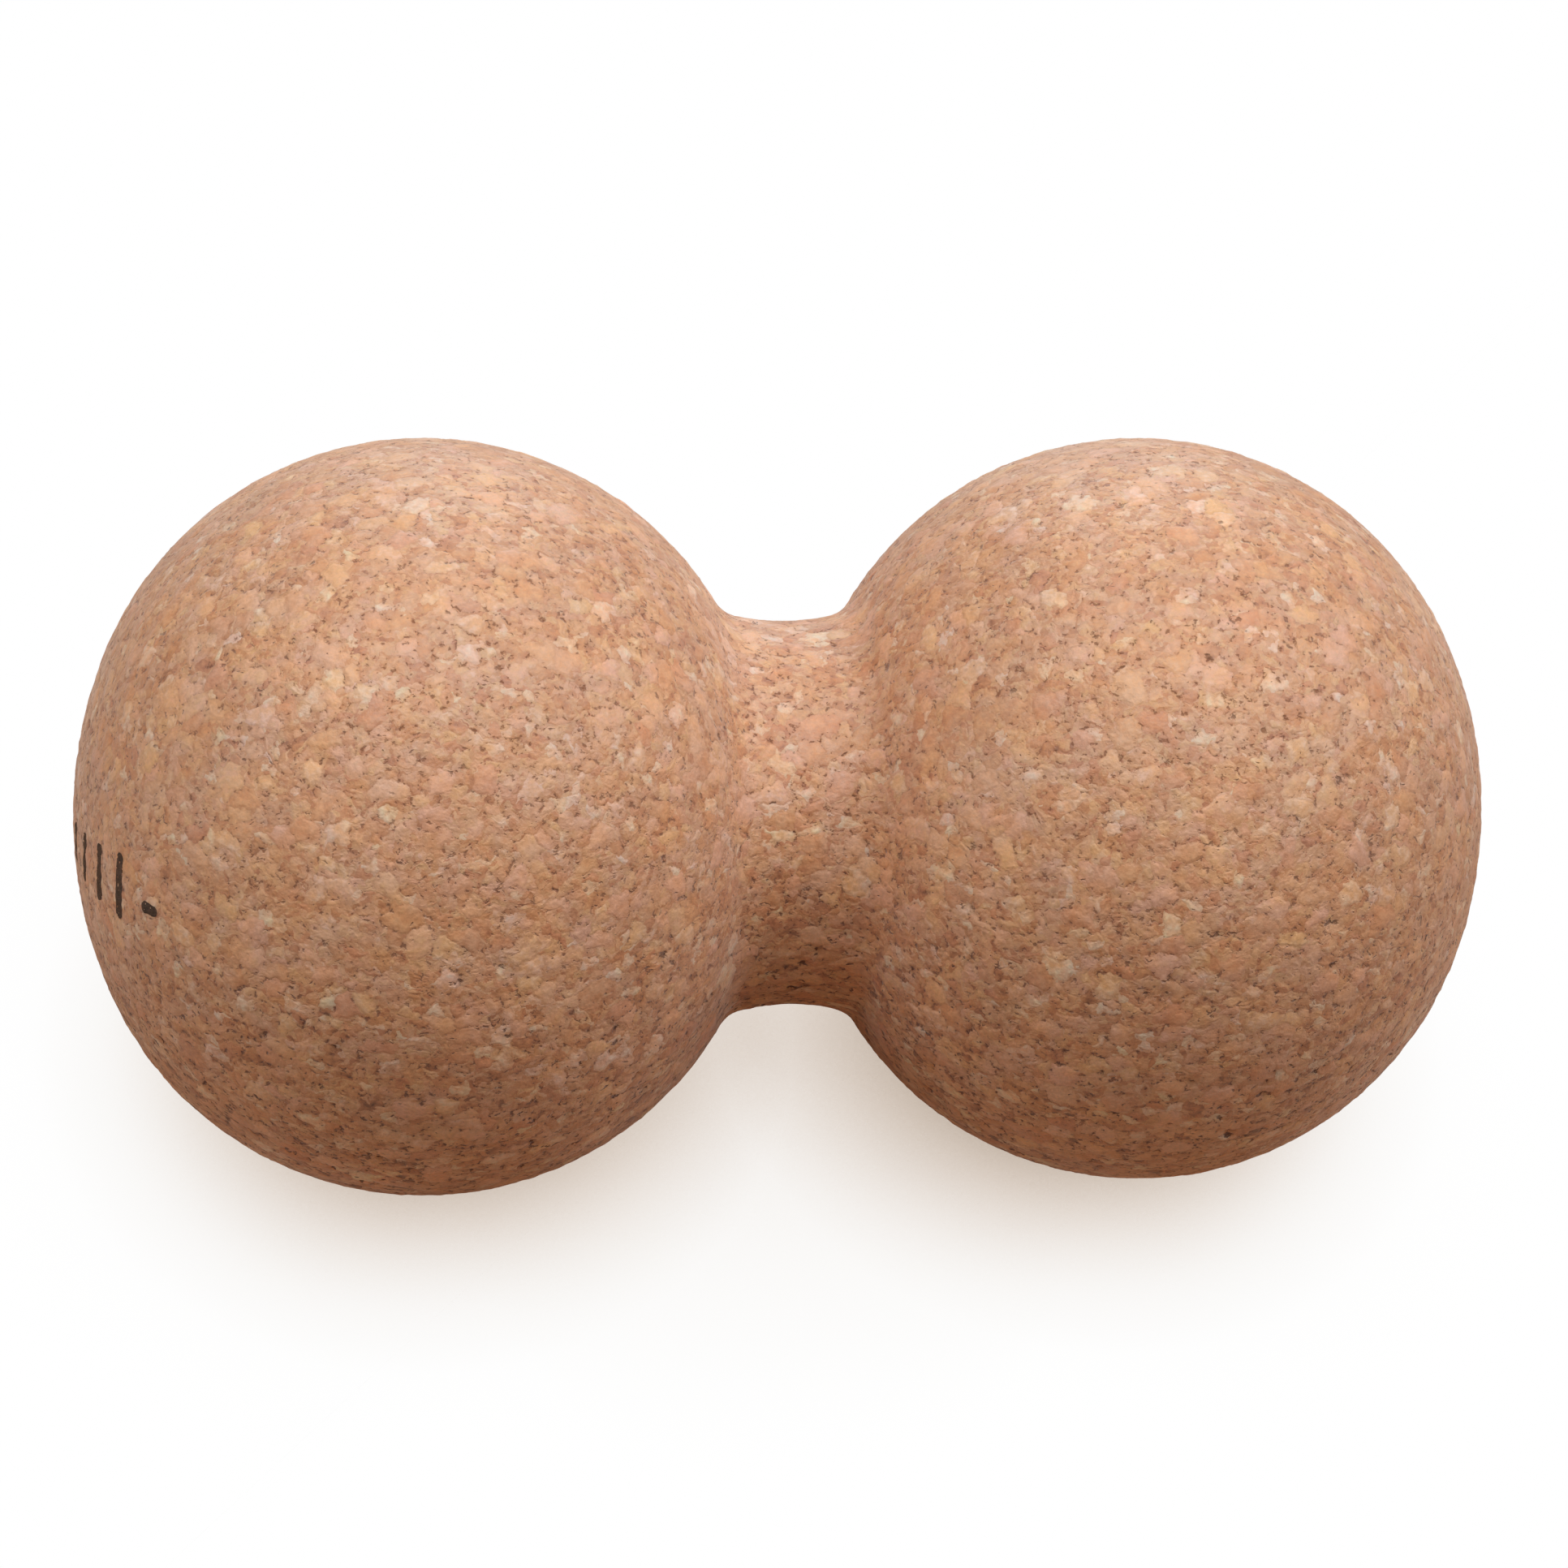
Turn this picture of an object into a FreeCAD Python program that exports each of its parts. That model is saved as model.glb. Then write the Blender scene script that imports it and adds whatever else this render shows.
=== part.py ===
import FreeCAD, Part
import math
import os
import Sketcher
from FreeCAD import Placement, Rotation, Vector

# A double massage ball turned from one block of bonded cork granules: two equal balls joined by
# a short waist. The turning axis lies along X, the balls rest on the plane Z = 0 and the origin
# is under the middle of the waist. A thin row of ink bars is printed on the end of one ball.

DIMENSIONS = {
    "overall_length": 150.0,
    "ball_diameter": 80.0,
    "ball_half_width": 36.8,    # equator to end of a ball, along the turning axis
    "crown_radius": 36.0,       # arc over the equator of each ball
    "neck_diameter": 41.2,      # smallest diameter, at the middle of the waist
    "waist_radius": 24.0,       # hollow arc along the waist
    "neck_fillet": 4.0,         # arc between the waist and each ball
    "film_thickness": 0.06,     # ink above the cork
    "bar_count": 4,
    "bar_width": 1.2,
    "first_bar_length": 4.4,
    "bar_length_step": 0.9,
    "bar_pitch": 5.0,
    "base_line": 3.1,           # foot of the bars below the middle of the print
    "dash_length": 2.4,
    "print_turn": 23.0,         # degrees from the end of the ball towards the front
    "print_rise": 15.0,         # degrees above the turning axis
    "print_roll": 27.0,         # degrees that the row climbs towards the front
}


def make_sheet(doc):
    """Put every driving dimension in a cell of its own, with its name beside it."""
    sheet = doc.addObject("Spreadsheet::Sheet", "dimensions")
    for row, (name, value) in enumerate(DIMENSIONS.items(), start=1):
        sheet.set(f"A{row}", name)
        sheet.set(f"B{row}", str(value))
        sheet.setAlias(f"B{row}", name)
    doc.recompute()
    return sheet


def origin_feature(body, role):
    return next(f for f in body.Origin.OriginFeatures if f.Role == role)


def flat_sketch(body, name, plane):
    sketch = body.newObject("Sketcher::SketchObject", name)
    sketch.AttachmentSupport = [(origin_feature(body, plane), "")]
    sketch.MapMode = "FlatFace"
    return sketch


def bind(sketch, name, expression, constraint):
    """Add a dimension to a sketch and drive it from the sheet."""
    index = sketch.addConstraint(constraint)
    sketch.renameConstraint(index, name)
    sketch.setExpression(f"Constraints.{name}", expression)


def arc_about(centre, radius, start, end):
    """An arc from one point to another, turning left about its centre."""
    first = math.atan2(start.y - centre.y, start.x - centre.x)
    last = math.atan2(end.y - centre.y, end.x - centre.x)
    return Part.ArcOfCircle(Part.Circle(centre, Vector(0, 0, 1), radius), first, last)


def ball_outline(sheet, skin):
    """Centres, radii and joint of the two arcs of the +X ball's outline, skin mm outside it."""
    crown_radius = sheet.crown_radius + skin
    half_width = sheet.ball_half_width + skin
    rise = sheet.ball_diameter / 2 - sheet.crown_radius
    equator = sheet.overall_length / 2 - sheet.ball_half_width
    end_radius = (half_width**2 + rise**2 - crown_radius**2) / (2 * (half_width - crown_radius))
    crown_centre = Vector(equator, rise, 0)
    end_centre = Vector(equator + half_width - end_radius, 0, 0)
    outward = (crown_centre - end_centre).normalize()
    joint = end_centre + outward * end_radius
    return crown_centre, crown_radius, end_centre, end_radius, joint


def mirrored(point):
    return Vector(-point.x, point.y, 0)


def cork_sketch(body, sheet):
    """The half outline of both balls and the waist, closed along the turning axis."""
    sketch = flat_sketch(body, "turning_profile", "XZ_Plane")
    crown_centre, crown_radius, end_centre, end_radius, joint = ball_outline(sheet, 0)
    tip = Vector(sheet.overall_length / 2, 0, 0)
    waist_centre = Vector(0, sheet.neck_diameter / 2 + sheet.waist_radius, 0)

    # The fillet's centre is waist_radius - neck_fillet from the waist's and
    # crown_radius + neck_fillet from the crown's.
    to_waist = sheet.waist_radius - sheet.neck_fillet
    to_crown = crown_radius + sheet.neck_fillet
    across = crown_centre - waist_centre
    span = across.Length
    along = (to_waist**2 - to_crown**2 + span**2) / (2 * span)
    aside = math.sqrt(to_waist**2 - along**2)
    unit = Vector(across).normalize()
    fillet_centre = waist_centre + unit * along + Vector(unit.y, -unit.x, 0) * aside
    waist_end = waist_centre + (fillet_centre - waist_centre).normalize() * sheet.waist_radius
    flank = crown_centre + (fillet_centre - crown_centre).normalize() * crown_radius

    end_right = sketch.addGeometry(arc_about(end_centre, end_radius, tip, joint))
    crown_right = sketch.addGeometry(arc_about(crown_centre, crown_radius, joint, flank))
    fillet_right = sketch.addGeometry(
        arc_about(fillet_centre, sheet.neck_fillet, waist_end, flank))
    waist = sketch.addGeometry(
        arc_about(waist_centre, sheet.waist_radius, mirrored(waist_end), waist_end))
    fillet_left = sketch.addGeometry(
        arc_about(mirrored(fillet_centre), sheet.neck_fillet, mirrored(flank), mirrored(waist_end)))
    crown_left = sketch.addGeometry(
        arc_about(mirrored(crown_centre), crown_radius, mirrored(flank), mirrored(joint)))
    end_left = sketch.addGeometry(
        arc_about(mirrored(end_centre), end_radius, mirrored(joint), mirrored(tip)))
    axis = sketch.addGeometry(Part.LineSegment(mirrored(tip), tip))

    start, end, centre = 1, 2, 3
    x_axis, y_axis = -1, -2
    for pair in (
        (end_right, end, crown_right, start),
        (crown_right, end, fillet_right, end),
        (fillet_right, start, waist, end),
        (waist, start, fillet_left, end),
        (fillet_left, start, crown_left, start),
        (crown_left, end, end_left, start),
    ):
        sketch.addConstraint(Sketcher.Constraint("Tangent", *pair))
    for pair in ((end_left, end, axis, start), (axis, end, end_right, start)):
        sketch.addConstraint(Sketcher.Constraint("Coincident", *pair))
    for point in ((axis, start), (axis, end), (end_right, centre), (end_left, centre)):
        sketch.addConstraint(Sketcher.Constraint("PointOnObject", *point, x_axis))
    sketch.addConstraint(Sketcher.Constraint("PointOnObject", waist, centre, y_axis))
    sketch.addConstraint(Sketcher.Constraint("Equal", crown_right, crown_left))
    sketch.addConstraint(Sketcher.Constraint("Equal", fillet_right, fillet_left))

    half_length = "dimensions.overall_length / 2"
    equator = "dimensions.overall_length / 2 - dimensions.ball_half_width"
    rise = "dimensions.ball_diameter / 2 - dimensions.crown_radius"
    bind(sketch, "right_tip", half_length,
         Sketcher.Constraint("DistanceX", axis, end, tip.x))
    bind(sketch, "left_tip", half_length,
         Sketcher.Constraint("DistanceX", axis, start, -1, 1, tip.x))
    bind(sketch, "right_equator", equator,
         Sketcher.Constraint("DistanceX", crown_right, centre, crown_centre.x))
    bind(sketch, "left_equator", equator,
         Sketcher.Constraint("DistanceX", crown_left, centre, -1, 1, crown_centre.x))
    bind(sketch, "right_rise", rise,
         Sketcher.Constraint("DistanceY", crown_right, centre, crown_centre.y))
    bind(sketch, "left_rise", rise,
         Sketcher.Constraint("DistanceY", crown_left, centre, crown_centre.y))
    bind(sketch, "crown", "dimensions.crown_radius",
         Sketcher.Constraint("Radius", crown_right, crown_radius))
    bind(sketch, "fillet", "dimensions.neck_fillet",
         Sketcher.Constraint("Radius", fillet_right, sheet.neck_fillet))
    bind(sketch, "waist", "dimensions.waist_radius",
         Sketcher.Constraint("Radius", waist, sheet.waist_radius))
    bind(sketch, "waist_height", "dimensions.neck_diameter / 2 + dimensions.waist_radius",
         Sketcher.Constraint("DistanceY", waist, centre, waist_centre.y))
    return sketch


def ink_sketch(body, sheet):
    """The outline of the -X ball's outer half, one film thickness larger than the cork."""
    sketch = flat_sketch(body, "ink_profile", "XZ_Plane")
    film = sheet.film_thickness
    crown_centre, crown_radius, end_centre, end_radius, joint = ball_outline(sheet, film)
    crown_centre = mirrored(crown_centre)
    top = crown_centre + Vector(0, crown_radius, 0)
    foot = Vector(crown_centre.x, 0, 0)
    tip = Vector(-sheet.overall_length / 2 - film, 0, 0)

    crown = sketch.addGeometry(arc_about(crown_centre, crown_radius, top, mirrored(joint)))
    end_cap = sketch.addGeometry(arc_about(mirrored(end_centre), end_radius, mirrored(joint), tip))
    axis = sketch.addGeometry(Part.LineSegment(tip, foot))
    wall = sketch.addGeometry(Part.LineSegment(foot, top))

    start, end, centre = 1, 2, 3
    sketch.addConstraint(Sketcher.Constraint("Tangent", crown, end, end_cap, start))
    for pair in ((end_cap, end, axis, start), (axis, end, wall, start), (wall, end, crown, start)):
        sketch.addConstraint(Sketcher.Constraint("Coincident", *pair))
    for point in ((axis, start), (axis, end), (end_cap, centre)):
        sketch.addConstraint(Sketcher.Constraint("PointOnObject", *point, -1))
    sketch.addConstraint(Sketcher.Constraint("Vertical", wall))
    bind(sketch, "tip", "dimensions.overall_length / 2 + dimensions.film_thickness",
         Sketcher.Constraint("DistanceX", axis, start, -1, 1, -tip.x))
    bind(sketch, "equator", "dimensions.overall_length / 2 - dimensions.ball_half_width",
         Sketcher.Constraint("DistanceX", crown, centre, -1, 1, -crown_centre.x))
    bind(sketch, "wall_place", "dimensions.overall_length / 2 - dimensions.ball_half_width",
         Sketcher.Constraint("DistanceX", wall, start, -1, 1, -foot.x))
    bind(sketch, "rise", "dimensions.ball_diameter / 2 - dimensions.crown_radius",
         Sketcher.Constraint("DistanceY", crown, centre, crown_centre.y))
    bind(sketch, "crown", "dimensions.crown_radius + dimensions.film_thickness",
         Sketcher.Constraint("Radius", crown, crown_radius))
    return sketch


def revolve(body, sketch, name):
    turned = body.newObject("PartDesign::Revolution", name)
    turned.Profile = sketch
    turned.ReferenceAxis = (sketch, ["H_Axis"])
    turned.Angle = 360.0
    return turned


def make_cork_body(doc, sheet):
    """The whole ball pair, one turned solid."""
    body = doc.addObject("PartDesign::Body", "cork_body")
    body.Label = "cork_body"
    revolve(body, cork_sketch(body, sheet), "turned_cork")
    body.setExpression(".Placement.Base.z", "dimensions.ball_diameter / 2")
    return body


def rectangle(sketch, name, left, bottom, width, length):
    """A rectangle; each argument after the name is a pair of an expression and its value."""
    x0, y0 = left[1], bottom[1]
    x1, y1 = x0 + width[1], y0 + length[1]
    corners = [Vector(x0, y0, 0), Vector(x1, y0, 0), Vector(x1, y1, 0), Vector(x0, y1, 0)]
    edges = [
        sketch.addGeometry(Part.LineSegment(corners[i], corners[(i + 1) % 4]))
        for i in range(4)
    ]
    for i in range(4):
        sketch.addConstraint(
            Sketcher.Constraint("Coincident", edges[i], 2, edges[(i + 1) % 4], 1))
    sketch.addConstraint(Sketcher.Constraint("Horizontal", edges[0]))
    sketch.addConstraint(Sketcher.Constraint("Horizontal", edges[2]))
    sketch.addConstraint(Sketcher.Constraint("Vertical", edges[1]))
    sketch.addConstraint(Sketcher.Constraint("Vertical", edges[3]))
    bind(sketch, f"{name}_width", width[0],
         Sketcher.Constraint("DistanceX", edges[0], 1, edges[0], 2, width[1]))
    bind(sketch, f"{name}_length", length[0],
         Sketcher.Constraint("DistanceY", edges[1], 1, edges[1], 2, length[1]))
    bind(sketch, f"{name}_left", left[0],
         Sketcher.Constraint("DistanceX", -1, 1, edges[0], 1, x0))
    bind(sketch, f"{name}_bottom", bottom[0],
         Sketcher.Constraint("DistanceY", -1, 1, edges[0], 1, y0))


def make_bars(doc, sheet):
    """Upright bars of growing length and a closing dash, as blocks along the printing direction."""
    body = doc.addObject("PartDesign::Body", "print_bars")
    body.Label = "print_bars"
    sketch = flat_sketch(body, "bar_outlines", "YZ_Plane")
    shift = sheet.bar_count / 2 * sheet.bar_pitch
    places = "(dimensions.bar_count / 2 - {0}) * dimensions.bar_pitch"
    lengths = "dimensions.first_bar_length + {0} * dimensions.bar_length_step"
    for i in range(int(sheet.bar_count)):
        rectangle(
            sketch, f"bar_{i + 1}",
            (places.format(i), shift - i * sheet.bar_pitch),
            ("-dimensions.base_line", -sheet.base_line),
            ("dimensions.bar_width", sheet.bar_width),
            (lengths.format(i), sheet.first_bar_length + i * sheet.bar_length_step))
    last = int(sheet.bar_count)
    rectangle(
        sketch, "dash",
        (places.format(last) + " - dimensions.dash_length / 2",
         shift - last * sheet.bar_pitch - sheet.dash_length / 2),
        ("-dimensions.bar_width / 2", -sheet.bar_width / 2),
        ("dimensions.dash_length", sheet.dash_length),
        ("dimensions.bar_width", sheet.bar_width))
    pad = body.newObject("PartDesign::Pad", "bar_blocks")
    pad.Profile = sketch
    pad.setExpression("Length", "dimensions.ball_diameter")
    pad.Reversed = True
    body.setExpression(".Placement.Base.x",
                       "dimensions.ball_half_width - dimensions.overall_length / 2")
    body.setExpression(".Placement.Base.z", "dimensions.ball_diameter / 2")
    turn = Rotation(Vector(0, 0, 1), sheet.print_turn)
    rise = Rotation(Vector(0, 1, 0), sheet.print_rise)
    roll = Rotation(Vector(1, 0, 0), -sheet.print_roll)
    body.Placement = Placement(body.Placement.Base, turn * rise * roll)
    return body


def make_printed_mark(doc, sheet, cork):
    """Ink bars: the blocks, kept inside a skin one film thickness above the cork."""
    bars = make_bars(doc, sheet)
    skin = doc.addObject("PartDesign::Body", "ink_skin")
    skin.Label = "ink_skin"
    revolve(skin, ink_sketch(skin, sheet), "turned_skin")
    skin.setExpression(".Placement.Base.z", "dimensions.ball_diameter / 2")
    inked = doc.addObject("Part::Common", "inked_bars")
    inked.Base = skin
    inked.Tool = bars
    mark = doc.addObject("Part::Cut", "printed_mark")
    mark.Base = inked
    mark.Tool = cork
    mark.Label = "printed_mark"
    return mark


def check_document(doc, subparts):
    for item in doc.Objects:
        if "Invalid" in item.State or "Error" in item.State:
            raise RuntimeError(f"{item.Label} did not recompute: {item.State}")
    for part in subparts:
        if part.Shape.isNull() or not part.Shape.isValid():
            raise RuntimeError(f"{part.Label} has no valid shape")


def main():
    doc = FreeCAD.newDocument("massage_ball")
    sheet = make_sheet(doc)
    cork = make_cork_body(doc, sheet)
    mark = make_printed_mark(doc, sheet, cork)
    doc.recompute()
    subparts = [cork, mark]
    check_document(doc, subparts)
    os.makedirs("parts", exist_ok=True)
    for part in subparts:
        part.Shape.exportStep(f"parts/{part.Label}.step")
        box = part.Shape.BoundBox
        print(
            f"{part.Label}: {len(part.Shape.Solids)} solids, {part.Shape.Volume:.1f} mm3, "
            f"x {box.XMin:.2f}..{box.XMax:.2f}, y {box.YMin:.2f}..{box.YMax:.2f}, "
            f"z {box.ZMin:.2f}..{box.ZMax:.2f}")


main()
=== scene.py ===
import math
import bmesh
import bpy
import numpy as np
from mathutils import Matrix, Quaternion, Vector, noise
from mathutils.bvhtree import BVHTree


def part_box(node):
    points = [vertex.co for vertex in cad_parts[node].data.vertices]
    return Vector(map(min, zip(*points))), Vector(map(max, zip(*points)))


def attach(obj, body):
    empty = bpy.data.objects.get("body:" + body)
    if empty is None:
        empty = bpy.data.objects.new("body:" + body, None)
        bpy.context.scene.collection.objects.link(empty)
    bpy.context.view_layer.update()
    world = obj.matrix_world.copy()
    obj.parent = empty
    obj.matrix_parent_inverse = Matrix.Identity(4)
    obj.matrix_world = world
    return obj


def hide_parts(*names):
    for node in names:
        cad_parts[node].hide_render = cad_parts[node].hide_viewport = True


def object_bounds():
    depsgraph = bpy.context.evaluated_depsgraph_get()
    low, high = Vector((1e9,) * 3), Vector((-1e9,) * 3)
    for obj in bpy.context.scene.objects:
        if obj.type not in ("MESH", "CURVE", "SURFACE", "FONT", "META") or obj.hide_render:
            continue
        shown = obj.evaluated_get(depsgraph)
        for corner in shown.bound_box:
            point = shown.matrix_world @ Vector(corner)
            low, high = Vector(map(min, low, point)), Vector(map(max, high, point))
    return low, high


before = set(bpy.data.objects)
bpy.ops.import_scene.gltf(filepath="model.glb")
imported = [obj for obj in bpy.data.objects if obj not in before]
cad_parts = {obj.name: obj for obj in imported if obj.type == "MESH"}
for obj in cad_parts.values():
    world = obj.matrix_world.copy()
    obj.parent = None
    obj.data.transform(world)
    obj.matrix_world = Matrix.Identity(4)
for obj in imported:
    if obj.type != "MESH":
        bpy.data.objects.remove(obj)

mm = 0.001
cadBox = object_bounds()
corkLow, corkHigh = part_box("cork_body")
middle = (corkLow + corkHigh) / 2
print("frame loaded, cork body", [round(v, 4) for v in corkHigh - corkLow])


class Wire:
    # one socket of a node tree; a sum written with it adds the nodes that work it out
    def __init__(self, tree, socket):
        self.tree = tree
        self.socket = socket

    def add(self, kind, settings, sockets, output=0):
        node = self.tree.nodes.new(kind)
        for name, value in settings.items():
            if name == "stops":
                setStops(node.color_ramp, value)
            else:
                setattr(node, name, value)
        for name, value in sockets.items():
            if isinstance(value, Wire):
                self.tree.links.new(value.socket, node.inputs[name])
            else:
                node.inputs[name].default_value = value
        return Wire(self.tree, node.outputs[output])

    def sum(self, operation, first, second):
        both = (first, second)
        wide = any(isinstance(v, tuple) for v in both)
        wide = wide or any(isinstance(v, Wire) and v.socket.type in ("VECTOR", "RGBA") for v in both)
        if not wide:
            return self.add("ShaderNodeMath", {"operation": operation}, {0: first, 1: second})
        first, second = ((v, v, v) if isinstance(v, (int, float)) else v for v in both)
        return self.add("ShaderNodeVectorMath", {"operation": operation}, {0: first, 1: second})

    def __add__(self, other):
        return self.sum("ADD", self, other)

    def __radd__(self, other):
        return self.sum("ADD", other, self)

    def __sub__(self, other):
        return self.sum("SUBTRACT", self, other)

    def __rsub__(self, other):
        return self.sum("SUBTRACT", other, self)

    def __mul__(self, other):
        return self.sum("MULTIPLY", self, other)

    def __rmul__(self, other):
        return self.sum("MULTIPLY", other, self)

    def __truediv__(self, other):
        return self.sum("DIVIDE", self, other)

    def __rtruediv__(self, other):
        return self.sum("DIVIDE", other, self)

    def __gt__(self, other):
        return self.sum("GREATER_THAN", self, other)

    def __lt__(self, other):
        return self.sum("LESS_THAN", self, other)

    def largest(self, other):
        return self.sum("MAXIMUM", self, other)

    def smallest(self, other):
        return self.sum("MINIMUM", self, other)

    def ease(self, low, high, start=0.0, stop=1.0):
        # start below low, stop above high, and a soft step between them
        return self.add("ShaderNodeMapRange", {"interpolation_type": "SMOOTHSTEP"}, {
            "Value": self, "From Min": low, "From Max": high, "To Min": start, "To Max": stop})

    def parts(self):
        split = self.add("ShaderNodeSeparateXYZ", {}, {0: self})
        return [Wire(self.tree, plug) for plug in split.socket.node.outputs]

    def choose(self, low, high):
        # a number between low and high, by this number
        return self.add("ShaderNodeMix", {"data_type": "FLOAT"}, {0: self, 2: low, 3: high})

    def blend(self, under, over):
        # a colour between under and over, by this number
        return self.add("ShaderNodeMix", {"data_type": "RGBA"}, {0: self, 6: under, 7: over}, 2)

    def cloud(self, scale, detail=2.0, output="Color"):
        sockets = {"Vector": self, "Scale": scale, "Detail": detail}
        return self.add("ShaderNodeTexNoise", {}, sockets, output)

    def cells(self, scale, output="Color", feature="F1"):
        sockets = {"Vector": self, "Scale": scale}
        return self.add("ShaderNodeTexVoronoi", {"feature": feature}, sockets, output)


def setStops(ramp, stops):
    while len(ramp.elements) < len(stops):
        ramp.elements.new(0.5)
    for element, (place, colour) in zip(ramp.elements, stops):
        element.position = place
        element.color = (*colour, 1.0)


def sunlit(colour):
    # a colour as a screen shows it, 0 to 255, as the linear light that a shader wants
    return tuple(((v / 255 + 0.055) / 1.055) ** 2.4 for v in colour)


def paint(colour):
    return (*sunlit(colour), 1.0)


def newMaterial(name, roughness):
    material = bpy.data.materials.new(name)
    material.use_nodes = True
    tree = material.node_tree
    shader = tree.nodes["Principled BSDF"]
    shader.inputs["Roughness"].default_value = roughness
    return material, shader, Wire(tree, shader.outputs[0])


def feed(shader, name, wire):
    wire.tree.links.new(wire.socket, shader.inputs[name])


def bumped(height, strength):
    # height in mm
    return height.add("ShaderNodeBump", {}, {"Strength": strength, "Distance": mm, "Height": height})


corkBall = {
    # shape, mm
    "ballHalfWidth": 36.8,            # equator to end along the turning axis
    "crownRadius": 36.0,
    "neckRadius": 20.6,
    "waistRadius": 24.0,
    "neckFillet": 4.0,
    "meshStep": 0.68,
    # granules: each scale is in cells or clouds per mm
    "stretch": (0.84, 1.0, 1.10),     # they lie a little longer along the ball pair
    "slowBend": (0.22, 2.4),          # scale, and how far it pushes, mm
    "quickBend": (0.9, 1.6),
    "bigScale": 0.45,
    "smallScale": 0.80,
    "crumbScale": 1.6,
    "bigShare": 0.30,                 # share of the cork that is big granules
    "smallShare": 0.55,               # and of what is left, small ones
    "bigHue": (0.8, 0.15),            # span and lowest place on the colour ramp
    "crumbHue": 0.75,
    "smallRise": 0.9,
    "crumbRise": 0.7,
    "smallCrumb": 0.35,               # how much a small granule counts as a crumb
    "openCorkAndPaintedShadeBelow": (-10.0, 28.0),       # mm from the middle: open cork under the first, close over the second; under it the colour also carries painted shade
    "mottleScale": 1.1,
    "hueSpread": 0.74,
    "paintedShadeHueSpreadBelow": 0.22,           # more of it where the cork is open, lower down, and so with each such pair; here that is painted shade, more colour contrast towards the bottom
    "mottleHue": 0.65,
    "hueMiddle": 0.54,
    # painted shade: colours darker lower down
    "paintedShadeHueDropBelow": 0.04,
    # seams, and the gaps where one has broken open
    "seamWidth": 0.42,
    "gapWidth": (0.04, 0.18),
    "gapScale": 1.9,
    "gapCloud": (0.54, 0.62),
    "gapMottle": (0.40, 0.54),
    # pits, and larger holes
    "pitStretch": (1.0, 1.3, 1.5),
    "pitScale": 0.90,
    "pitShare": 0.24,
    "pitShareBelow": 0.42,
    "pitReach": 0.34,
    "pitReachSpan": (0.6, 0.4),       # how that varies from pit to pit
    "pitEdge": (0.1, 0.9),
    "holeBend": (1.4, 1.6),
    "holeStretch": (1.0, 1.2, 1.7),
    "holeScale": 0.40,
    "holeShare": 0.09,
    "holeShareBelow": 0.30,
    "holeReachSpan": (0.16, 0.12),
    "holeEdge": (0.3, 1.0),
    # relief, mm
    "heightSpread": 0.05,             # between the lowest and highest granule face
    "seamDepth": 0.08,
    "gapDepth": 0.16,
    "mottleDepth": 0.08,
    "mottleEdge": (0.3, 0.7),
    "pitDepth": 0.40,
    # colour
    "colours": [
        (0.00, (124, 76, 50)),
        (0.09, (172, 110, 76)),
        (0.17, (194, 130, 92)),
        (0.28, (204, 142, 102)),
        (0.45, (212, 156, 118)),
        (0.60, (220, 166, 132)),
        (0.74, (216, 164, 122)),
        (0.86, (226, 180, 150)),
        (1.00, (226, 200, 174)),
    ],
    "yellowTint": (1.00, 1.03, 0.90, 1),       # from granule to granule
    "pinkTint": (1.01, 0.98, 1.00, 1),
    "tanTint": (1.04, 0.985, 0.88, 1),         # in patches
    "greyTint": (0.97, 1.01, 1.13, 1),
    "tintScale": 0.3,
    "tintCloud": (0.34, 0.66),
    "fineScale": 3.0,
    "fineLight": 0.45,
    # painted shade: more fine light and dark lower down, in place of the relief's shading
    "paintedReliefShadeBelow": 0.45,
    "broadScale": 0.09,
    "broadLight": 0.20,
    "crumbShade": 0.05,
    "paintedHollowShadeDepth": (-0.34, -0.12),    # mm; painted shade: deep spots get less light, so the colour is darkened there
    "paintedHollowShadeStrength": 0.50,
    "paintedHollowShadeScale": 0.6,
    "paintedHollowShadeScaleBelow": 0.7,
    "seamColour": (168, 108, 70),
    "seamCover": 0.20,
    # dark cork and painted shade in the gaps and pits, with more painted shade lower down
    "gapColourAndShade": (106, 54, 28),
    "gapColourAndShadeCover": 0.38,
    "paintedGapShadeBelow": 0.30,
    "pitColourAndShade": (100, 50, 25),
    "pitColourAndShadeCover": 0.40,
    "paintedPitShadeBelow": 0.36,
    # finish
    "roughness": (0.50, 0.68),
    "roughCloud": (0.3, 0.7),
    "bump": 0.5,
    "fineBump": 0.06,
    "specular": 0.85,
    "sheen": 0.28,
    "sheenRoughness": 0.5,
}


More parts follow.
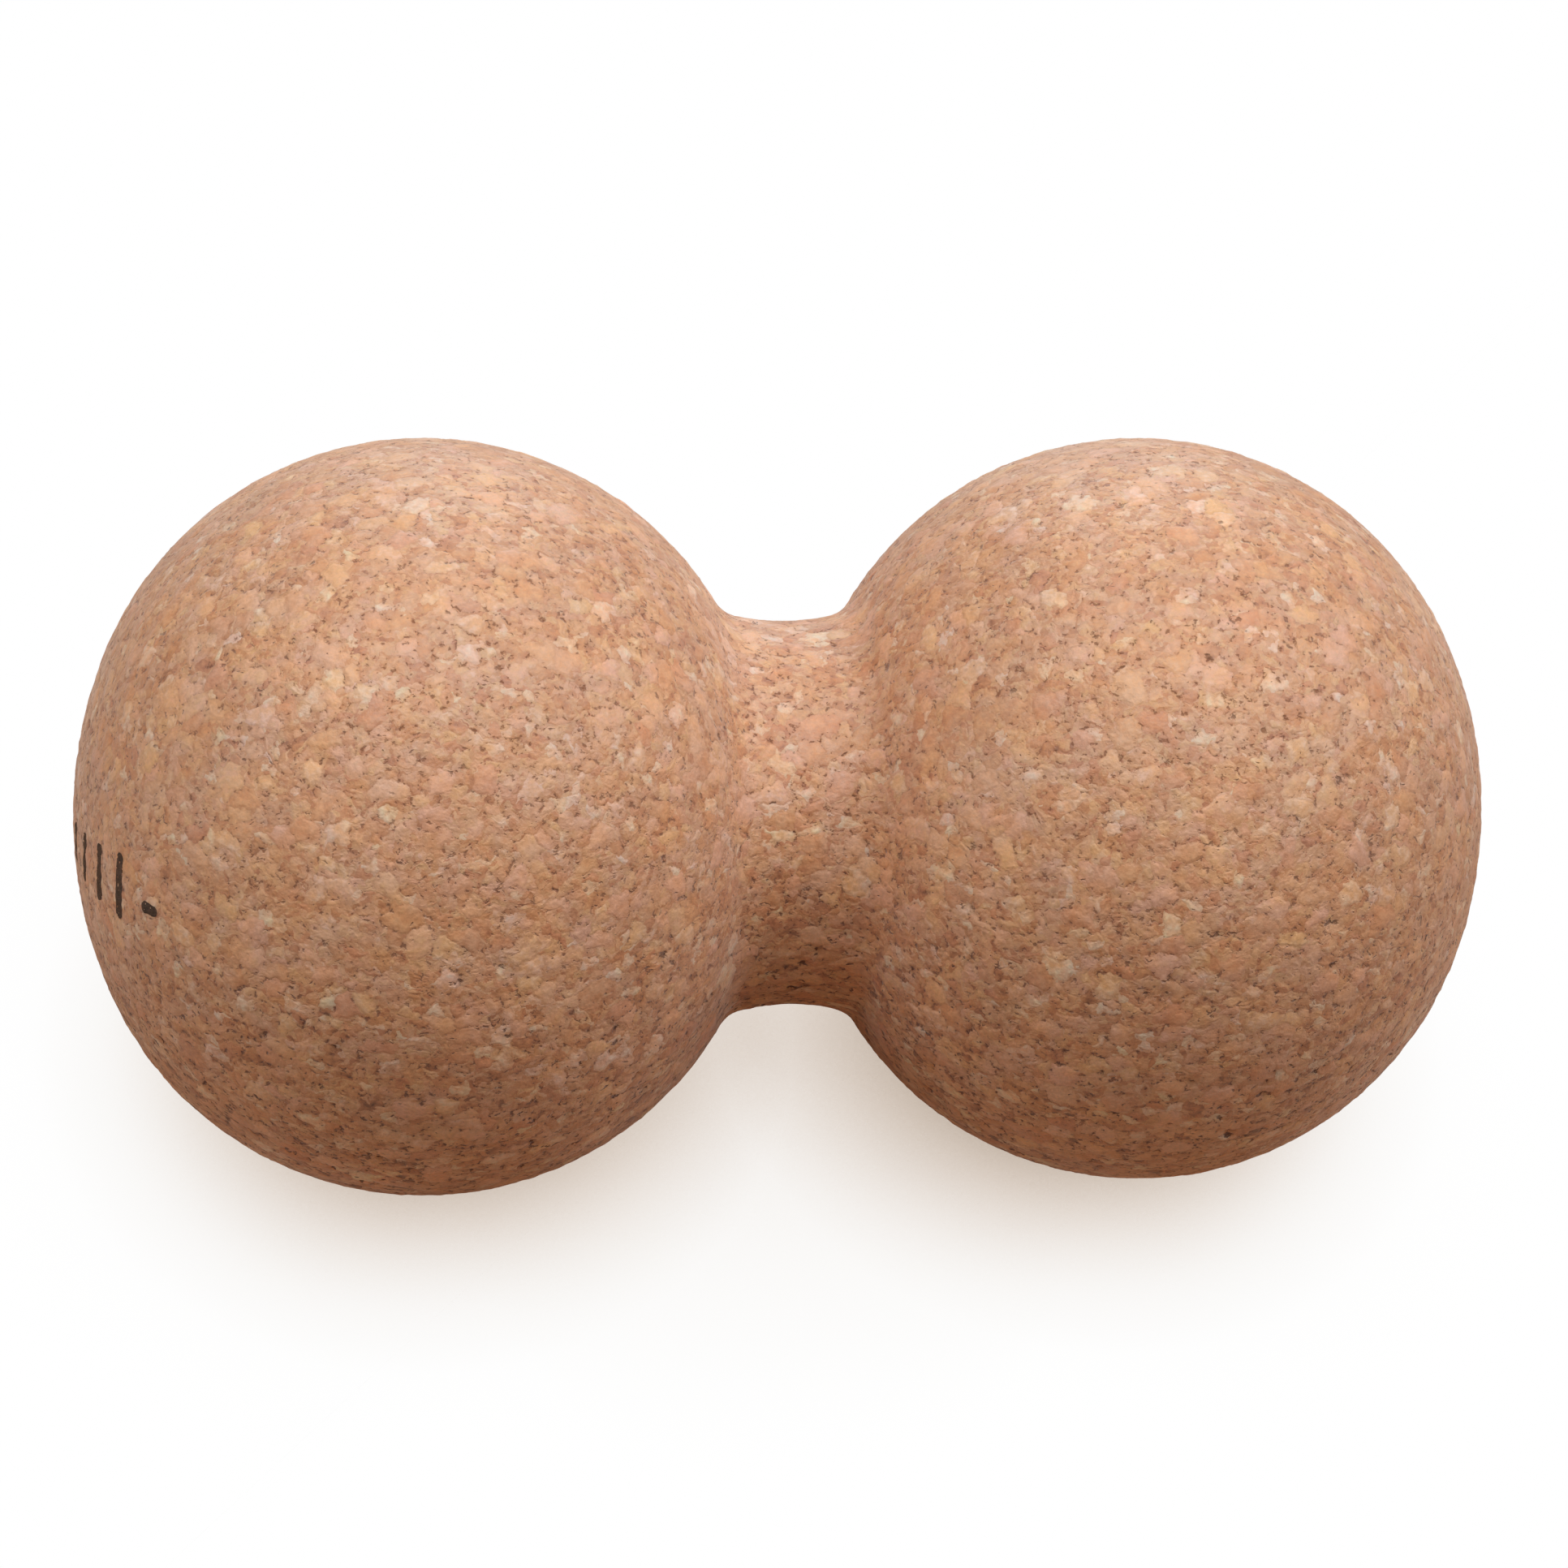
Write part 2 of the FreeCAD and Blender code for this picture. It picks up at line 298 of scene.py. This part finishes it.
def corkPattern(place):
    # place is a point of the undented ball, in mm from its middle
    grain = corkBall
    slowScale, slowPush = grain["slowBend"]
    quickScale, quickPush = grain["quickBend"]
    bent = place + (place.cloud(slowScale) - 0.5) * slowPush
    bent = (bent + (place.cloud(quickScale, 3.0) - 0.5) * quickPush) * grain["stretch"]

    bigHue, bigPick, bigRise = bent.cells(grain["bigScale"]).parts()
    smallHue, smallPick, smallRise = bent.cells(grain["smallScale"]).parts()
    crumbHue, _, crumbRise = bent.cells(grain["crumbScale"]).parts()
    bigEdge = bent.cells(grain["bigScale"], "Distance", "DISTANCE_TO_EDGE") / grain["bigScale"]
    smallEdge = bent.cells(grain["smallScale"], "Distance", "DISTANCE_TO_EDGE") / grain["smallScale"]

    isBig = bigPick < grain["bigShare"]
    isSmall = smallPick < grain["smallShare"]
    bigSpan, bigLowest = grain["bigHue"]
    hue = isSmall.choose(crumbHue * grain["crumbHue"], smallHue)
    hue = isBig.choose(hue, bigHue * bigSpan + bigLowest)
    rise = isSmall.choose(crumbRise * grain["crumbRise"], smallRise * grain["smallRise"])
    rise = isBig.choose(rise, bigRise)
    edge = bigEdge.smallest(isBig.choose(smallEdge, 1.0))
    crumbs = isBig.choose(isSmall.choose(1.0, grain["smallCrumb"]), 0.0)

    below = place.parts()[2].ease(*grain["openCorkAndPaintedShadeBelow"], 1.0, 0.0)      # the cork is more open lower down, and its colour there carries painted shade
    mottle = place.cloud(grain["mottleScale"], 5.0, "Fac")
    # painted shade: lower down the granules take darker colours, spread further apart
    hueMiddle = grain["hueMiddle"] - below * grain["paintedShadeHueDropBelow"]
    hueSpread = below * grain["paintedShadeHueSpreadBelow"] + grain["hueSpread"]
    hue = (hue - 0.5) * hueSpread + (mottle - 0.5) * grain["mottleHue"] + hueMiddle
    seam = edge.ease(0.0, grain["seamWidth"], 1.0, 0.0)
    broken = place.cloud(grain["gapScale"], 2.0, "Fac").ease(*grain["gapCloud"])
    gap = edge.ease(*grain["gapWidth"], 1.0, 0.0) * broken * mottle.ease(*grain["gapMottle"], 1.0, 0.0)

    pitBend = bent * grain["pitStretch"]
    _, pitPick, pitSize = pitBend.cells(grain["pitScale"]).parts()
    pitSpan, pitLeast = grain["pitReachSpan"]
    pitReach = (pitSize * pitSize * pitSpan + pitLeast) * grain["pitReach"]
    pitAway = pitBend.cells(grain["pitScale"], "Distance") / pitReach
    pitShare = below * grain["pitShareBelow"] + grain["pitShare"]
    pit = pitAway.ease(*grain["pitEdge"], 1.0, 0.0) * (pitPick < pitShare)

    holeScale, holePush = grain["holeBend"]
    holeBend = (bent + (place.cloud(holeScale) - 0.5) * holePush) * grain["holeStretch"]
    _, holePick, holeSize = holeBend.cells(grain["holeScale"]).parts()
    holeSpan, holeLeast = grain["holeReachSpan"]
    holeAway = holeBend.cells(grain["holeScale"], "Distance") / (holeSize * holeSpan + holeLeast)
    holeShare = below * grain["holeShareBelow"] + grain["holeShare"]
    hole = holeAway.ease(*grain["holeEdge"], 1.0, 0.0) * (holePick < holeShare)
    return {
        "hue": hue, "rise": rise, "seam": seam, "gap": gap, "pit": pit.largest(hole), "crumbs": crumbs,
        "mottle": mottle, "below": below}


def corkHeight(pattern):
    # mm above the turned surface: zero or less everywhere, so the ball never outgrows its size
    grain = corkBall
    return (
        (pattern["rise"] - 1.0) * grain["heightSpread"]
        - pattern["seam"] * grain["seamDepth"]
        - pattern["gap"] * grain["gapDepth"]
        - pattern["mottle"].ease(*grain["mottleEdge"], 1.0, 0.0) * grain["mottleDepth"]
        - pattern["pit"] * grain["pitDepth"])


def outlineArcs():
    # centre, radius, first and last angle of each arc from the +X tip to the middle of the waist
    shape = corkBall
    ballRadius = (corkHigh.z - corkLow.z) / 2 / mm
    equator = (corkHigh.x - corkLow.x) / 2 / mm - shape["ballHalfWidth"]
    rise = ballRadius - shape["crownRadius"]
    width = shape["ballHalfWidth"]
    endRadius = (width**2 + rise**2 - shape["crownRadius"]**2) / (2 * (width - shape["crownRadius"]))
    endCentre = Vector((equator + width - endRadius, 0))
    crownCentre = Vector((equator, rise))
    waistCentre = Vector((0, shape["neckRadius"] + shape["waistRadius"]))

    toWaist = shape["waistRadius"] - shape["neckFillet"]
    toCrown = shape["crownRadius"] + shape["neckFillet"]
    across = crownCentre - waistCentre
    along = (toWaist**2 - toCrown**2 + across.length_squared) / (2 * across.length)
    aside = math.sqrt(toWaist**2 - along**2)
    unit = across.normalized()
    filletCentre = waistCentre + unit * along + Vector((unit.y, -unit.x)) * aside

    def bearing(start, stop):
        return math.atan2(stop.y - start.y, stop.x - start.x)

    joint = bearing(endCentre, crownCentre)
    flank = bearing(crownCentre, filletCentre)
    foot = bearing(waistCentre, filletCentre)
    return [
        (endCentre, endRadius, 0.0, joint),
        (crownCentre, shape["crownRadius"], joint, flank),
        (filletCentre, shape["neckFillet"], flank - math.pi, foot),
        (waistCentre, shape["waistRadius"], foot, -math.pi / 2),
    ]


def outlinePoints(step):
    # x, radius and outward normal at even steps from tip to tip
    arcs = outlineArcs()
    lengths = [abs(last - first) * radius for _, radius, first, last in arcs]
    half = sum(lengths)
    count = math.ceil(half / step)
    points = []
    for i in range(count + 1):
        run = half * i / count
        index = 0
        while index < len(arcs) - 1 and run > lengths[index]:
            run -= lengths[index]
            index += 1
        centre, radius, first, last = arcs[index]
        angle = first + (last - first) * min(run / lengths[index], 1.0)
        outward = 1 if index < 2 else -1       # the last two arcs are hollow
        facing = Vector((math.cos(angle), math.sin(angle)))
        place = centre + facing * radius
        points.append((place.x, max(place.y, 0.0), facing.x * outward, facing.y * outward))
    mirrored = [(-x, radius, -normalX, normalR) for x, radius, normalX, normalR in reversed(points[:-1])]
    return points + mirrored


def stitch(first, second):
    # triangles between two rings of (angle, index) that both go once round
    faces = []
    a, b = 0, 0
    turnA = [angle for angle, _ in first] + [first[0][0] + math.tau]
    turnB = [angle for angle, _ in second] + [second[0][0] + math.tau]
    while a < len(first) or b < len(second):
        nowA = first[a % len(first)][1]
        nowB = second[b % len(second)][1]
        stepA = b >= len(second) or (a < len(first) and turnA[a + 1] <= turnB[b + 1])
        if stepA:
            faces.append((nowA, nowB, first[(a + 1) % len(first)][1]))
            a += 1
        else:
            faces.append((nowA, nowB, second[(b + 1) % len(second)][1]))
            b += 1
    return faces


def fan(tip, ring, atStart):
    # triangles from the first or last ring, which is one point, to the ring beside it
    faces = []
    for i in range(len(ring)):
        pair = (ring[i][1], ring[(i + 1) % len(ring)][1])
        faces.append((tip, *pair) if atStart else (tip, pair[1], pair[0]))
    return faces


def turnedMesh(name, step):
    # a body of revolution about X in even triangles: each ring has as many points as its size asks
    outline = outlinePoints(step)
    golden = 0.618034        # part of a step that each ring is turned on from the last, so no rows show
    places, normals, rings = [], [], []
    for k, (x, radius, normalX, normalR) in enumerate(outline):
        count = max(1, round(math.tau * radius / step)) if radius > step / 2 else 1
        shift = (k * golden) % 1.0 * math.tau / count
        ring = []
        for i in range(count):
            angle = shift + math.tau * i / count
            ring.append((angle, len(places)))
            places.append((x, radius * math.cos(angle), radius * math.sin(angle)))
            normals.append((normalX, normalR * math.cos(angle), normalR * math.sin(angle)))
        rings.append(ring)
    faces = fan(rings[0][0][1], rings[1], True)
    for first, second in zip(rings[1:-2], rings[2:-1]):
        faces.extend(stitch(first, second))
    faces.extend(fan(rings[-1][0][1], rings[-2], False))
    places = np.array(places)
    mesh = bpy.data.meshes.new(name)
    mesh.from_pydata((places * mm + np.array(middle)).tolist(), [], faces)
    rest = mesh.attributes.new("restPlace", "FLOAT_VECTOR", "POINT")
    rest.data.foreach_set("vector", places.astype(np.float32).ravel())
    facing = mesh.attributes.new("restFacing", "FLOAT_VECTOR", "POINT")
    facing.data.foreach_set("vector", np.array(normals, dtype=np.float32).ravel())
    return mesh


def dentMesh(piece):
    # push every point in by the height that its granule, seam or pit has there
    tree = bpy.data.node_groups.new("corkRelief", "GeometryNodeTree")
    tree.interface.new_socket("Geometry", in_out="INPUT", socket_type="NodeSocketGeometry")
    tree.interface.new_socket("Geometry", in_out="OUTPUT", socket_type="NodeSocketGeometry")
    start = Wire(tree, tree.nodes.new("NodeGroupInput").outputs[0])
    kind = {"data_type": "FLOAT_VECTOR"}
    place = start.add("GeometryNodeInputNamedAttribute", kind, {"Name": "restPlace"})
    facing = start.add("GeometryNodeInputNamedAttribute", kind, {"Name": "restFacing"})
    height = corkHeight(corkPattern(place)) * mm
    moved = start.add("GeometryNodeSetPosition", {}, {"Geometry": start, "Offset": facing * height})
    end = tree.nodes.new("NodeGroupOutput")
    tree.links.new(moved.socket, end.inputs[0])
    relief = piece.modifiers.new("relief", "NODES")
    relief.node_group = tree
    evaluated = piece.evaluated_get(bpy.context.evaluated_depsgraph_get())
    dented = bpy.data.meshes.new_from_object(evaluated)
    piece.modifiers.clear()
    piece.data = dented
    piece.data.name = piece.name
    bpy.data.node_groups.remove(tree)


def corkMaterial():
    finish = corkBall
    material, shader, start = newMaterial("bondedCork", finish["roughness"][1])
    place = start.add("ShaderNodeAttribute", {"attribute_name": "restPlace"}, {}, "Vector")
    pattern = corkPattern(place)
    below = pattern["below"]
    hueStops = [(at, sunlit(colour)) for at, colour in finish["colours"]]
    colour = start.add("ShaderNodeValToRGB", {"stops": hueStops}, {0: pattern["hue"]})

    fine = place.cloud(finish["fineScale"], 4.0, "Fac")
    broad = place.cloud(finish["broadScale"], 2.0, "Fac")
    # painted shade: lower down the fine tone varies more, in place of the relief's shading
    fineLight = below * finish["paintedReliefShadeBelow"] + finish["fineLight"]
    light = (fine - 0.5) * fineLight + (broad - 0.5) * finish["broadLight"] + 1.0
    granuleTint = pattern["rise"].blend(finish["yellowTint"], finish["pinkTint"])
    patch = place.cloud(finish["tintScale"], 3.0, "Fac").ease(*finish["tintCloud"])
    tint = granuleTint * patch.blend(finish["tanTint"], finish["greyTint"])
    height = corkHeight(pattern)
    # painted shade: the colour is darkened where the relief lies deep, and more so lower down
    paintedHollowShade = height.ease(*finish["paintedHollowShadeDepth"], finish["paintedHollowShadeStrength"], 0.0)
    paintedHollowShade = paintedHollowShade * (below * finish["paintedHollowShadeScaleBelow"] + finish["paintedHollowShadeScale"])
    colour = colour * tint * (light - pattern["crumbs"] * finish["crumbShade"] - paintedHollowShade)

    # dark cork and painted shade: gaps and pits are darkened in the colour, more so lower down
    gapColourAndShadeCover = below * finish["paintedGapShadeBelow"] + finish["gapColourAndShadeCover"]
    pitColourAndShadeCover = below * finish["paintedPitShadeBelow"] + finish["pitColourAndShadeCover"]
    colour = (pattern["seam"] * finish["seamCover"]).blend(colour, paint(finish["seamColour"]))
    colour = (pattern["gap"] * gapColourAndShadeCover).blend(colour, paint(finish["gapColourAndShade"]))
    colour = (pattern["pit"] * pitColourAndShadeCover).blend(colour, paint(finish["pitColourAndShade"]))
    feed(shader, "Base Color", colour)
    rough = fine.ease(*finish["roughCloud"], *finish["roughness"])
    feed(shader, "Roughness", pattern["pit"].largest(pattern["gap"]).choose(rough, 1.0))
    feed(shader, "Normal", bumped(height + (fine - 0.5) * finish["fineBump"], finish["bump"]))
    shader.inputs["Specular IOR Level"].default_value = finish["specular"]
    shader.inputs["Sheen Weight"].default_value = finish["sheen"]
    shader.inputs["Sheen Roughness"].default_value = finish["sheenRoughness"]
    return material


def makeCork():
    # the turned block of cork, with its granules pressed into the surface
    mesh = turnedMesh("corkSkin", corkBall["meshStep"])
    piece = bpy.data.objects.new("corkSkin", mesh)
    bpy.context.scene.collection.objects.link(piece)
    dentMesh(piece)
    piece.data.shade_smooth()
    piece.data.materials.clear()
    piece.data.materials.append(corkMaterial())
    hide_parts("cork_body")
    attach(piece, "root")
    print("cork skin", len(piece.data.vertices), "points,", len(piece.data.polygons), "faces")
    return piece


cork = makeCork()

inkPrint = {
    "turn": 23.0,            # degrees from the end of the ball towards the front
    "rise": 15.0,
    "roll": 27.0,            # degrees that the row climbs towards the front
    "bars": 4,
    "width": 1.2,            # mm, and below
    "firstLength": 4.4,
    "lengthStep": 0.9,
    "pitch": 5.0,
    "foot": 3.1,
    "dashLength": 2.4,
    "cell": 0.16,
    "cornerRadius": 0.55,
    "waver": 0.10,           # how far a stroke's edge strays
    "waverScale": 2.1,
    "proud": 0.04,
    "sunk": 0.10,
    "missing": 0.42,         # noise above this leaves bare cork
    "missingScale": 3.3,
    "seed": 5,               # of the wavering; a time of day is taken where none is set
    "blotchScale": 1.4,
    "fineScale": 6.0,
    "blotchWear": 0.6,
    "fineWear": 0.5,
    "wearCloud": (0.42, 0.78),
    "colour": (40, 31, 29),
    "wornColour": (98, 72, 58),
    "roughness": (0.50, 0.72),
    "roughCloud": (0.3, 0.7),
    "bump": 0.5,
    "bumpHeight": 0.06,
}


def inkStrokes():
    # low corner and size of each bar and of the closing dash, in the plane of the print
    ink = inkPrint
    strokes = []
    for i in range(ink["bars"]):
        side = (ink["bars"] / 2 - i) * ink["pitch"]
        strokes.append((side, -ink["foot"], ink["width"], ink["firstLength"] + i * ink["lengthStep"]))
    side = -ink["bars"] / 2 * ink["pitch"] - ink["dashLength"] / 2
    strokes.append((side, -ink["width"] / 2, ink["dashLength"], ink["width"]))
    return strokes


def roundCorner(across, along, wide, tall):
    # a point of a wide by tall rectangle about the origin, pulled inside its rounded corners
    radius = inkPrint["cornerRadius"]
    beyond = Vector((abs(across) - wide / 2 + radius, abs(along) - tall / 2 + radius))
    if beyond.x > 0 and beyond.y > 0 and beyond.length > radius:
        excess = beyond - beyond.normalized() * radius
        across -= math.copysign(excess.x, across)
        along -= math.copysign(excess.y, along)
    return across, along


def layStroke(shape, under, centre, aim, stroke):
    # a thin closed film on the cork's own relief, with the patches that didn't print left out
    ink = inkPrint
    low, foot, wide, tall = stroke
    outside = -50.0          # mm along the aim, well clear of the ball
    columns, rows = round(wide / ink["cell"]), round(tall / ink["cell"])
    top, base = {}, {}
    for i in range(columns + 1):
        for j in range(rows + 1):
            across, along = roundCorner(wide * (i / columns - 0.5), tall * (j / rows - 0.5), wide, tall)
            place = Vector((0, low + wide / 2 + across, foot + tall / 2 + along))
            stray = noise.noise_vector(place * ink["waverScale"]) * ink["waver"]
            start = centre + aim @ Vector((outside, place.y + stray.x, place.z + stray.y)) * mm
            hit = under.ray_cast(start, aim @ Vector((1, 0, 0)))[0]
            outward = (hit - centre).normalized()
            top[i, j] = shape.verts.new(hit + outward * ink["proud"] * mm)
            base[i, j] = shape.verts.new(hit - outward * ink["sunk"] * mm)

    squares = [(i, j) for i in range(columns) for j in range(rows)]
    grit = {square: noise.noise(top[square].co / mm * ink["missingScale"]) for square in squares}
    printed = {square for square in squares if grit[square] < ink["missing"]}
    for i, j in squares:
        rising, falling = {(i, j), (i + 1, j + 1)}, {(i + 1, j), (i, j + 1)}
        if printed & (rising | falling) in (rising, falling):      # two that meet only at a corner
            printed |= rising | falling                            # would leave an open edge

    for i, j in sorted(printed):
        corners = [(i, j), (i, j + 1), (i + 1, j + 1), (i + 1, j)]
        beside = [(i - 1, j), (i, j + 1), (i + 1, j), (i, j - 1)]
        shape.faces.new([top[corner] for corner in corners])
        shape.faces.new([base[corner] for corner in reversed(corners)])
        for first, second, square in zip(corners, corners[1:] + corners[:1], beside):
            if square not in printed:
                shape.faces.new((top[second], top[first], base[first], base[second]))


def inkMaterial():
    ink = inkPrint
    material, shader, start = newMaterial("printingInk", ink["roughness"][1])
    place = start.add("ShaderNodeAttribute", {"attribute_name": "restPlace"}, {}, "Vector")
    blotch = place.cloud(ink["blotchScale"], 4.0, "Fac")
    fine = place.cloud(ink["fineScale"], 3.0, "Fac")
    worn = (blotch * ink["blotchWear"] + fine * ink["fineWear"]).ease(*ink["wearCloud"])
    feed(shader, "Base Color", worn.blend(paint(ink["colour"]), paint(ink["wornColour"])))
    feed(shader, "Roughness", blotch.ease(*ink["roughCloud"], *ink["roughness"]))
    feed(shader, "Normal", bumped((fine + blotch) * ink["bumpHeight"], ink["bump"]))
    return material


def makePrint():
    # four plain bars and a dash in ink, on the end of the ball at the low end of X
    ink = inkPrint
    turn = Matrix.Rotation(math.radians(ink["turn"]), 3, "Z")
    rise = Matrix.Rotation(math.radians(ink["rise"]), 3, "Y")
    roll = Matrix.Rotation(math.radians(-ink["roll"]), 3, "X")
    centre = Vector((corkLow.x + corkBall["ballHalfWidth"] * mm, middle.y, middle.z))
    skin = cork.data
    under = BVHTree.FromPolygons([v.co for v in skin.vertices], [tuple(f.vertices) for f in skin.polygons])
    noise.seed_set(ink["seed"])
    shape = bmesh.new()
    for stroke in inkStrokes():
        layStroke(shape, under, centre, turn @ rise @ roll, stroke)
    loose = [vert for vert in shape.verts if not vert.link_faces]
    bmesh.ops.delete(shape, geom=loose, context="VERTS")
    mesh = bpy.data.meshes.new("printedMark")
    shape.to_mesh(mesh)
    shape.free()
    rest = mesh.attributes.new("restPlace", "FLOAT_VECTOR", "POINT")
    rest.data.foreach_set("vector", [v / mm for vert in mesh.vertices for v in vert.co - middle])
    piece = bpy.data.objects.new("printedMark", mesh)
    bpy.context.scene.collection.objects.link(piece)
    mesh.materials.append(inkMaterial())
    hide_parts("printed_mark")
    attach(piece, "root")
    print("printed mark", len(mesh.vertices), "points")


makePrint()

cameraSetup = {
    "azimuth": -12.6,        # degrees from straight in front
    "elevation": 52.0,
    "roll": 9.3,
    "distance": 0.451,       # m from the middle of the ball pair
    "aside": 0.00403,        # m to the right of it
    "lens": 96.8,
    "shift": (-0.0240, 0.0182),
}


def makeCamera():
    setup = cameraSetup
    turn, rise = math.radians(setup["azimuth"]), math.radians(setup["elevation"])
    back = Vector((math.sin(turn) * math.cos(rise), -math.cos(turn) * math.cos(rise), math.sin(rise)))
    right = (-back).cross(Vector((0, 0, 1))).normalized()
    roll = Quaternion(-back, math.radians(-setup["roll"]))
    right = roll @ right
    up = back.cross(right)
    data = bpy.data.cameras.new("camera")
    data.lens = setup["lens"]
    data.shift_x, data.shift_y = setup["shift"]
    camera = bpy.data.objects.new("camera", data)
    bpy.context.scene.collection.objects.link(camera)
    place = middle + back * setup["distance"] + right * setup["aside"]
    turned = Matrix((right, up, back)).transposed().to_4x4()
    camera.matrix_world = Matrix.Translation(place) @ turned
    bpy.context.scene.camera = camera


makeCamera()

floorSetup = {
    "width": 6.0,
    "bounce": (178, 133, 92),       # how the floor lights the underside of the balls
    "roughness": 0.7,
    "nearShade": 0.020,             # reach of the two contact shadows, m
    "farShade": 0.050,
    "shades": [                     # the floor's colour from full shadow to none
        (0.00, (112, 96, 82)),
        (0.05, (186, 170, 154)),
        (0.12, (214, 199, 186)),
        (0.22, (235, 227, 220)),
        (0.40, (249, 247, 245)),
        (0.75, (255, 255, 255)),
    ],
}


def makeFloor():
    # for the camera an overexposed white table with soft contact shadows, for the ball a real surface
    half = floorSetup["width"] / 2
    mesh = bpy.data.meshes.new("floor")
    corners = [(-half, -half, 0), (half, -half, 0), (half, half, 0), (-half, half, 0)]
    mesh.from_pydata(corners, [], [(0, 1, 2, 3)])
    floor = bpy.data.objects.new("floor", mesh)
    floor.location.z = cadBox[0].z
    bpy.context.scene.collection.objects.link(floor)
    material, shader, start = newMaterial("paleFloor", floorSetup["roughness"])
    shader.inputs["Base Color"].default_value = paint(floorSetup["bounce"])
    reaches = (floorSetup["nearShade"], floorSetup["farShade"])
    near, far = (
        start.add("ShaderNodeAmbientOcclusion", {"samples": 12}, {"Distance": reach}, "AO")
        for reach in reaches)
    stops = [(at, sunlit(shade)) for at, shade in floorSetup["shades"]]
    shade = start.add("ShaderNodeValToRGB", {"stops": stops}, {0: near * far})
    shown = start.add("ShaderNodeEmission", {}, {"Color": shade})
    seen = start.add("ShaderNodeLightPath", {}, {}, "Is Camera Ray")
    both = start.add("ShaderNodeMixShader", {}, {0: seen, 1: start, 2: shown})
    start.tree.links.new(both.socket, start.tree.nodes["Material Output"].inputs["Surface"])
    mesh.materials.append(material)


makeFloor()

lamps = {
    # name: (azimuth from straight behind, elevation, distance in m, size in m, power in watts, colour)
    "backLeft": (-57.0, 77.0, 1.2, 0.95, 9.8, (1.0, 1.0, 1.0)),
    "right": (85.0, 50.0, 1.2, 0.95, 7.6, (1.0, 1.0, 1.0)),
    "back": (8.0, 14.0, 1.2, 0.80, 5.6, (0.70, 0.88, 1.0)),
    "left": (-100.0, 22.0, 1.2, 0.80, 2.3, (0.92, 0.98, 1.0)),
}


def makeLamp(name, azimuth, elevation, distance, size, power, colour):
    turn, rise = math.radians(azimuth), math.radians(elevation)
    away = Vector((math.sin(turn) * math.cos(rise), math.cos(turn) * math.cos(rise), math.sin(rise)))
    data = bpy.data.lights.new(name, "AREA")
    data.shape = "DISK"
    data.size = size
    data.energy = power
    data.color = colour
    lamp = bpy.data.objects.new(name, data)
    bpy.context.scene.collection.objects.link(lamp)
    lamp.location = middle + away * distance
    lamp.rotation_mode = "QUATERNION"
    lamp.rotation_quaternion = away.to_track_quat("Z", "Y")


for name, setup in lamps.items():
    makeLamp(name, *setup)

studio = {
    "glow": 0.085,       # how much the surroundings light the ball
    "shown": 1.0,        # and how bright the camera sees them
}


def makeStudio():
    world = bpy.data.worlds.new("studio")
    bpy.context.scene.world = world
    world.use_nodes = True
    tree = world.node_tree
    background = tree.nodes["Background"]
    start = Wire(tree, background.outputs[0])
    background.inputs["Color"].default_value = (1.0, 1.0, 1.0, 1.0)
    background.inputs["Strength"].default_value = studio["glow"]
    shown = start.add(
        "ShaderNodeBackground", {}, {"Color": (1.0, 1.0, 1.0, 1.0), "Strength": studio["shown"]})
    seen = start.add("ShaderNodeLightPath", {}, {}, "Is Camera Ray")
    both = start.add("ShaderNodeMixShader", {}, {0: seen, 1: start, 2: shown})
    tree.links.new(both.socket, tree.nodes["World Output"].inputs["Surface"])


makeStudio()
bpy.context.scene.view_settings.view_transform = "Standard"
print("camera, floor and light set")
